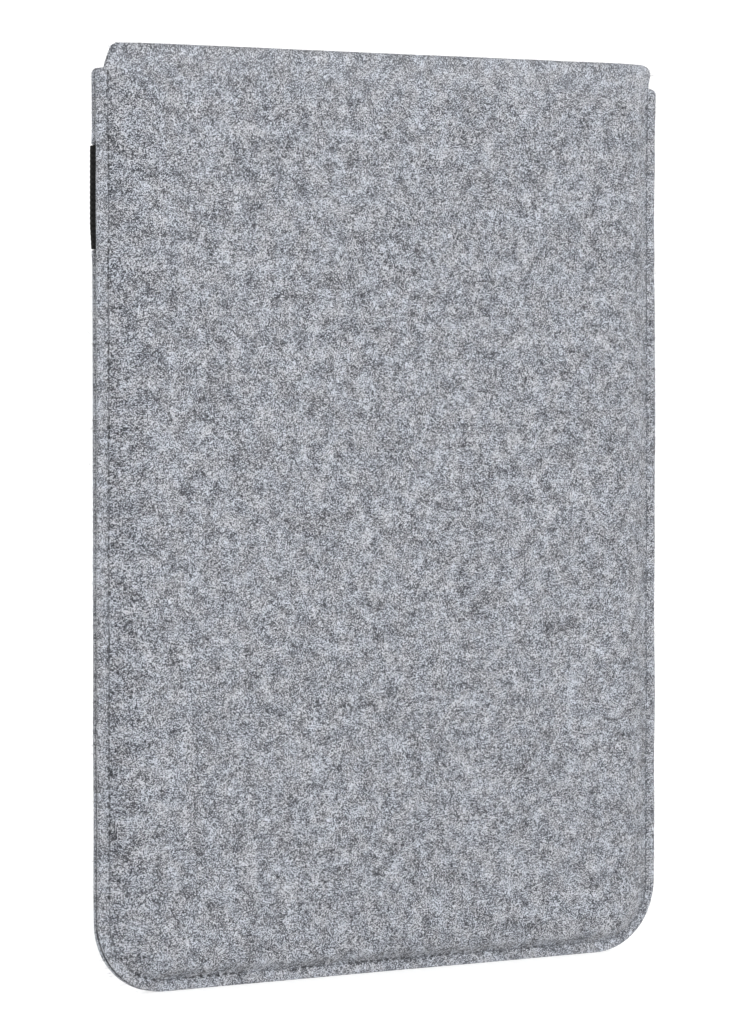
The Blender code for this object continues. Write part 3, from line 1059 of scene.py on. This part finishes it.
def fibres(name, surface, start_x, start_s, depth, heading, seed, longest):
    """Fibres from the given places of the cloth, each along a bending line.

    The line's heading turns evenly along it; its lift is half a sine, so both ends go
    back to the felt, and more for some fibres than for others.
    """
    rng = np.random.default_rng(seed)
    count = len(start_x)
    length = longest * rng.uniform(0.35, 1.0, (count, 1))
    bend = rng.uniform(-1.8, 1.8, (count, 1))
    lift = 0.22 * MM * rng.uniform(0.2, 1.0, (count, 1)) ** 2
    thick = rng.uniform(0.030, 0.050, (count, 1)) * MM
    t = np.linspace(0, 1, FIBRE_RINGS)
    facing = heading[:, None] + bend * t
    step = length / (FIBRE_RINGS - 1)
    x = start_x[:, None] + np.cumsum(np.cos(facing) * step, axis=1)
    s = np.maximum(start_s[:, None] + np.cumsum(np.sin(facing) * step, axis=1), 0.1 * MM)
    off = depth[:, None] - lift * np.sin(np.pi * (0.15 + 0.75 * t))
    centre = surface(x, s, off)
    normal = surface(x, s, off - 1 * MM) - centre
    radius = thick * (1 - 0.75 * np.abs(2 * t - 0.8) ** 2)
    radius = np.maximum(radius, 0.012 * MM)
    cloth = np.stack([start_x, start_s, depth], -1)[:, None] + np.zeros((1, FIBRE_RINGS, 1))
    return tubes(name, centre, normal, radius, 3, {"cloth": cloth}, LIGHT_WOOL)


def scatter(rng, count, half_width, low, high):
    """Random places on a cut between two rows, kept where they fall inside its outline."""
    x = rng.uniform(-HALF, HALF, 2 * count)
    s = rng.uniform(low, high, 2 * count)
    inside = np.abs(x) < half_width(s) - 0.3 * MM
    return x[inside][:count], s[inside][:count]


def edge_scatter(rng, count, half_width, low, high):
    """Random places just inside the two long edges, with headings that point outwards.

    None are where the strap passes.
    """
    s = rng.uniform(low, high, count)
    side = rng.choice([-1.0, 1.0], count)
    x = side * (half_width(s) - rng.uniform(0.0, 0.5, count) * MM)
    heading = np.where(side > 0, 0.0, np.pi) + rng.uniform(-1.4, 1.4, count)
    free = strap_window(s, 3 * MM, 3 * MM) == 0
    return x[free], s[free], heading[free]


def fuzz(name, surface, half_width, low, high, face_count, edge_count, seed, dent):
    """Fibres over a cut's outer face and along its edges, in one piece."""
    rng = np.random.default_rng(seed)
    x, s = scatter(rng, face_count, half_width, low, high)
    heading = rng.uniform(0, 2 * np.pi, len(x))
    edge_x, edge_s, edge_heading = edge_scatter(rng, edge_count, half_width, low, high)
    depth = np.concatenate([dent(x, s) + 0.03 * MM,
                            rng.uniform(0.25, 0.75, len(edge_x)) * FELT])
    return fibres(name, surface, np.concatenate([x, edge_x]), np.concatenate([s, edge_s]),
                  depth, np.concatenate([heading, edge_heading]), seed + 1, 2.8 * MM)


fuzz_back = fuzz("fuzz_back", back_surface, lambda s: back_cut_half_width(s, S_END),
                 low=1.0 * MM, high=S_SPLIT,
                 face_count=6600, edge_count=1300, seed=31, dent=groove)
fuzz_flap = fuzz("fuzz_flap", back_surface, lambda s: back_cut_half_width(s, S_END),
                 low=S_SPLIT, high=S_END - 1.0 * MM,
                 face_count=2200, edge_count=500, seed=41, dent=lambda x, s: 0 * x)
fuzz_front = fuzz("fuzz_front", front_surface, front_half_width,
                  low=1.0 * MM, high=SHOULDER_Z - 0.5 * MM,
                  face_count=5600, edge_count=1200, seed=51, dent=groove)

# %% [markdown]
# ## Floor and light
# A plain white studio bowl: a floor that curves up into a wall all round, so that the
# background is the same from every side. It glows a little, as white paper in a bright
# studio does. A soft light above and before each face of the sleeve gives the felt its
# shape.


# %% Studio
def studio_bowl(radius=4.2, bend=1.2, height=3.0, around=96):
    """A floor turned up into a wall: a profile spun about Z."""
    flat = np.linspace(0.02, radius - bend, 12)
    turn = np.linspace(0, np.pi / 2, 12)[1:]
    r = np.concatenate([flat, radius - bend + bend * np.sin(turn), [radius]])
    z = np.concatenate([0 * flat, bend * (1 - np.cos(turn)), [height]])
    angle = np.arange(around) * 2 * np.pi / around
    points = np.stack([r[:, None] * np.cos(angle), r[:, None] * np.sin(angle),
                       z[:, None] + 0 * angle], -1).reshape(-1, 3)
    grid = np.arange(len(r) * around).reshape(len(r), around)
    closed = np.concatenate([grid, grid[:, :1]], axis=1)
    mesh = bpy.data.meshes.new("studio")
    mesh.from_pydata(points.tolist(), [], quads(closed, True).tolist() + [grid[0].tolist()])
    mesh.shade_smooth()
    bowl = bpy.data.objects.new("studio", mesh)
    bpy.context.scene.collection.objects.link(bowl)
    return bowl


def soft_light(name, place, size, power, aim=(0.0, 0.0, 0.17)):
    data = bpy.data.lights.new(name, "AREA")
    data.shape = "SQUARE"
    data.size = size
    data.energy = power
    lamp = bpy.data.objects.new(name, data)
    lamp.location = place
    lamp.rotation_mode = "QUATERNION"
    lamp.rotation_quaternion = (Vector(aim) - Vector(place)).to_track_quat("-Z", "Y")
    bpy.context.scene.collection.objects.link(lamp)


studio = studio_bowl()
pale = Finish("pale studio", roughness=1.0, specular=0.0)
pale.shader.inputs["Base Color"].default_value = grey(0.5)
pale.shader.inputs["Emission Color"].default_value = grey(1.0)
pale.shader.inputs["Emission Strength"].default_value = 0.66
studio.data.materials.append(pale.material)

world = bpy.data.worlds.new("studio air")
world.use_nodes = True
sky = world.node_tree.nodes["Background"]
sky.inputs["Color"].default_value = grey(1.0)
sky.inputs["Strength"].default_value = 0.50
bpy.context.scene.world = world
bpy.context.scene.view_settings.view_transform = "Standard"

soft_light("key", (0.10, -2.9, 1.5), size=0.9, power=45.0)
soft_light("back light", (-0.10, 2.9, 1.5), size=0.9, power=45.0)
print("studio ready")

# %% [markdown]
# ## What moves with what
# The front felt and its fibres, the strap and both rows of stitches are attached to the
# pocket, and the frame's parts they stand for are hidden. The back felt, the flap and their
# fibres have their placing applied to their points, and the strap gets a mesh of its own.

# %% Bodies
SEWN = {
    felt_front: ("front_panel", "felt"),
    woven_strap: ("elastic_strap", "elastic"),
    back_stitches: ("back_seam_thread", "thread"),
    front_stitches: ("front_seam_thread", "thread"),
}
for piece, (node, slot) in SEWN.items():
    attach(piece, "sleeve")
    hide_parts(node)
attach(fuzz_front, "sleeve")
for piece in (felt_back, fuzz_back):
    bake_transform(piece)
for piece in (felt_flap, fuzz_flap):
    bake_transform(piece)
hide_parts("back_panel", "flap_ridge")
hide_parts("flap_panel")
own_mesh(woven_strap)
print("bodies set")

# %% [markdown]
# ## The cut sheets
# The flat sizes are those of the felt before sewing. The back cut is one sheet on the real
# sleeve; the size of the whole and of the flap's part of it are printed.

# %% Sheets
S_END - S_SPLIT
print("back cut", round(2 * HALF, 3), "x", round(S_END, 3), "m, flap part",
      round(2 * FLAP_HALF, 3), "x", round(S_END - S_SPLIT, 3), "m")
